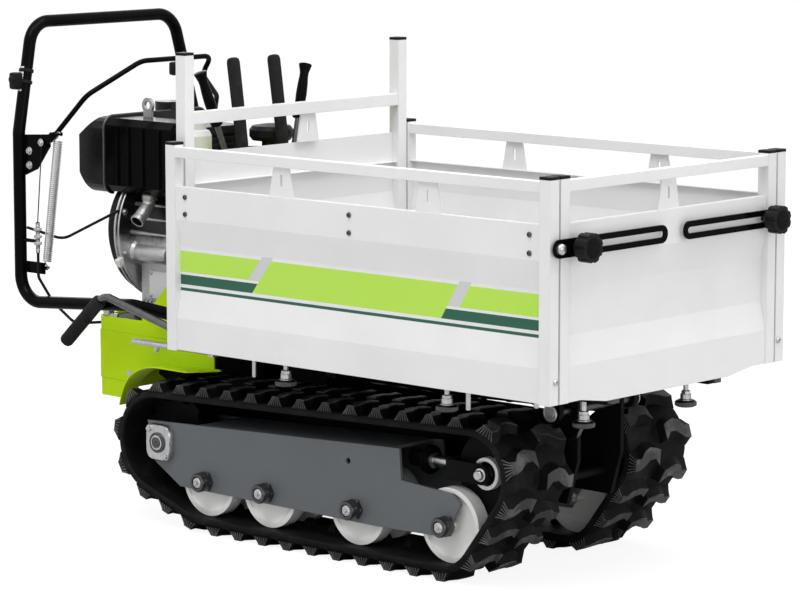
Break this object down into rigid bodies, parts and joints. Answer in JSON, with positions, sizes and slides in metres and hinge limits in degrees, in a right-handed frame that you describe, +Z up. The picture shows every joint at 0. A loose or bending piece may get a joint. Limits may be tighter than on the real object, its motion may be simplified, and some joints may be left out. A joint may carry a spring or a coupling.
{
  "type": "tracked site dumper",
  "caption": "Walk-behind rubber-tracked mini dumper with a tipping load box whose sides and front gate slide out, rear engine, lever console and loop handlebar.",
  "frame": {"origin": "ground level at the middle of the machine's length and width", "axes": "+X forward toward the front gate, +Y to the machine's left, +Z up"},
  "size_m": [1.5905, 0.706, 1.0131],
  "materials": {
    "white_paint": "semi-gloss powder coat",
    "lime_paint": "semi-gloss powder coat",
    "slate_paint": "satin powder coat",
    "black_paint": "gloss powder coat",
    "frame_black": "satin powder coat",
    "cream_paint": "gloss paint",
    "zinc_steel": "zinc plated",
    "cast_alloy": "as cast",
    "dark_steel": "oiled",
    "track_rubber": "moulded",
    "black_plastic": "satin",
    "tank_black": "gloss",
    "grip_foam": "matt foam",
    "bottle_plastic": "satin"
  },
  "bodies": {
    "chassis": {"chassis_frame": "frame_black", "gearbox": "frame_black", "engine_deck": "frame_black", "right_track": "track_rubber", "left_track": "track_rubber", "right_track_frame": "slate_paint", "left_track_frame": "slate_paint", "right_rollers": "cream_paint", "left_rollers": "cream_paint", "right_sprocket": "dark_steel", "left_sprocket": "dark_steel", "right_idler": "frame_black", "left_idler": "frame_black", "right_tensioner": "frame_black", "left_tensioner": "frame_black", "hinge_pin": "zinc_steel", "engine_block": "cast_alloy", "recoil_starter": "black_plastic", "fuel_tank": "tank_black", "muffler": "black_paint", "exhaust": "zinc_steel", "lifting_eye": "zinc_steel", "air_filter": "black_plastic", "coolant_bottle": "bottle_plastic", "rear_cover": "lime_paint", "control_console": "lime_paint", "levers": "grip_foam", "handlebar": "black_paint", "bar_switches": "black_plastic", "bar_brackets": "black_paint", "clutch_bail": "black_paint", "bail_spring": "zinc_steel", "cables": "black_plastic"},
    "bed": {"bed_floor": "frame_black", "headboard": "white_paint", "bed_knobs": "dark_steel", "lift_handle": "slate_paint", "latch_rod": "zinc_steel"},
    "right_side_panel": {"right_side": "white_paint", "right_side_bars": "zinc_steel"},
    "left_side_panel": {"left_side": "white_paint", "left_side_bars": "zinc_steel"},
    "gate": {"front_gate": "white_paint", "gate_bars": "zinc_steel", "gate_knobs": "black_plastic"},
    "right_link_arm": {"right_link": "dark_steel"},
    "left_link_arm": {"left_link": "dark_steel"}
  },
  "joints": [
    {"name": "bed_tip", "type": "hinge", "parent": "chassis", "child": "bed", "pos_m": [0.56375, 0, 0.32], "axis": [0, 1, 0], "range_deg": [0, 55]},
    {"name": "right_side_slide", "type": "slide", "parent": "bed", "child": "right_side_panel", "axis": [0, -1, 0], "range_m": [0, 0.2]},
    {"name": "left_side_slide", "type": "slide", "parent": "bed", "child": "left_side_panel", "axis": [0, 1, 0], "range_m": [0, 0.2]},
    {"name": "gate_slide", "type": "slide", "parent": "bed", "child": "gate", "axis": [1, 0, 0], "range_m": [0, 0.2]},
    {"name": "right_link_slide", "type": "slide", "parent": "gate", "child": "right_link_arm", "axis": [0, -1, 0], "range_m": [0, 0.2]},
    {"name": "left_link_slide", "type": "slide", "parent": "gate", "child": "left_link_arm", "axis": [0, 1, 0], "range_m": [0, 0.2]}
  ],
  "couplings": [
    {"joint": "right_link_slide", "follows": "right_side_slide", "ratio": 1},
    {"joint": "left_link_slide", "follows": "left_side_slide", "ratio": 1}
  ]
}
